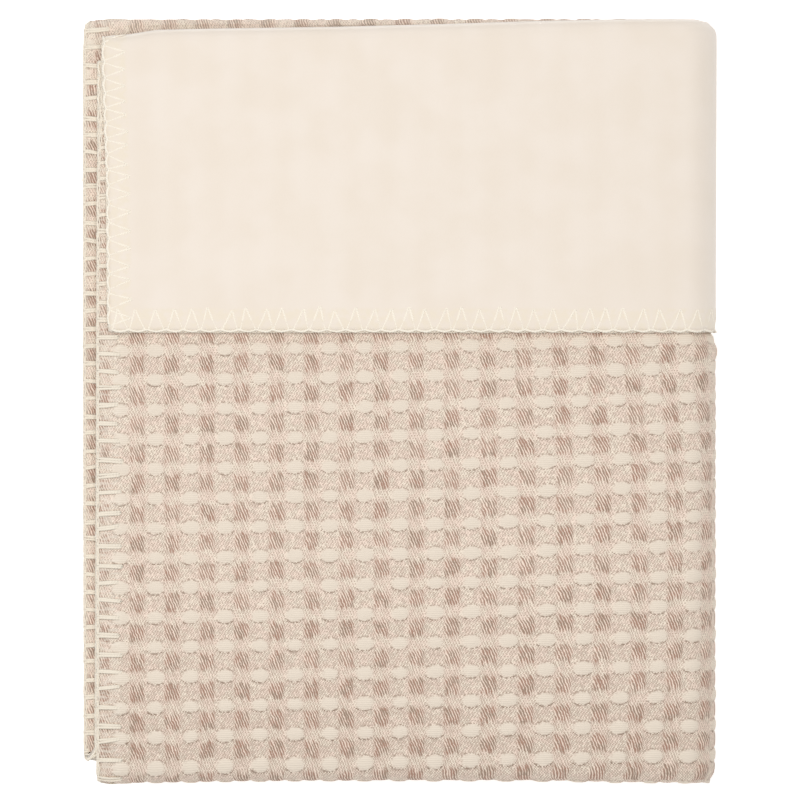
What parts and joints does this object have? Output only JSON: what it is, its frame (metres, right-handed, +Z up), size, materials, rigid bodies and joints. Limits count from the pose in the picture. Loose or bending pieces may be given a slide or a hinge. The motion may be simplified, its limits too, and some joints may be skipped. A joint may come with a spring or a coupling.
{
  "type": "folded bassinet blanket",
  "caption": "Two-ply baby blanket, waffle cotton face and brushed cotton lining, folded into a flat rectangular stack with its top edge turned down to show the lining.",
  "frame": {"origin": "middle of the folded blanket's footprint, on the surface that it lies on", "axes": "+X to the right and +Y towards the fold behind the turned-down flap, both as looked down on; +Z up"},
  "size_m": [0.193, 0.2326, 0.0576],
  "materials": {
    "waffle_cotton": "matte waffle weave in cream, beige and taupe yarns",
    "brushed_cotton": "matte brushed nap in cream"
  },
  "bodies": {
    "root": {"waffle_panel": "waffle_cotton", "lining_panel": "brushed_cotton"}
  },
  "joints": []
}
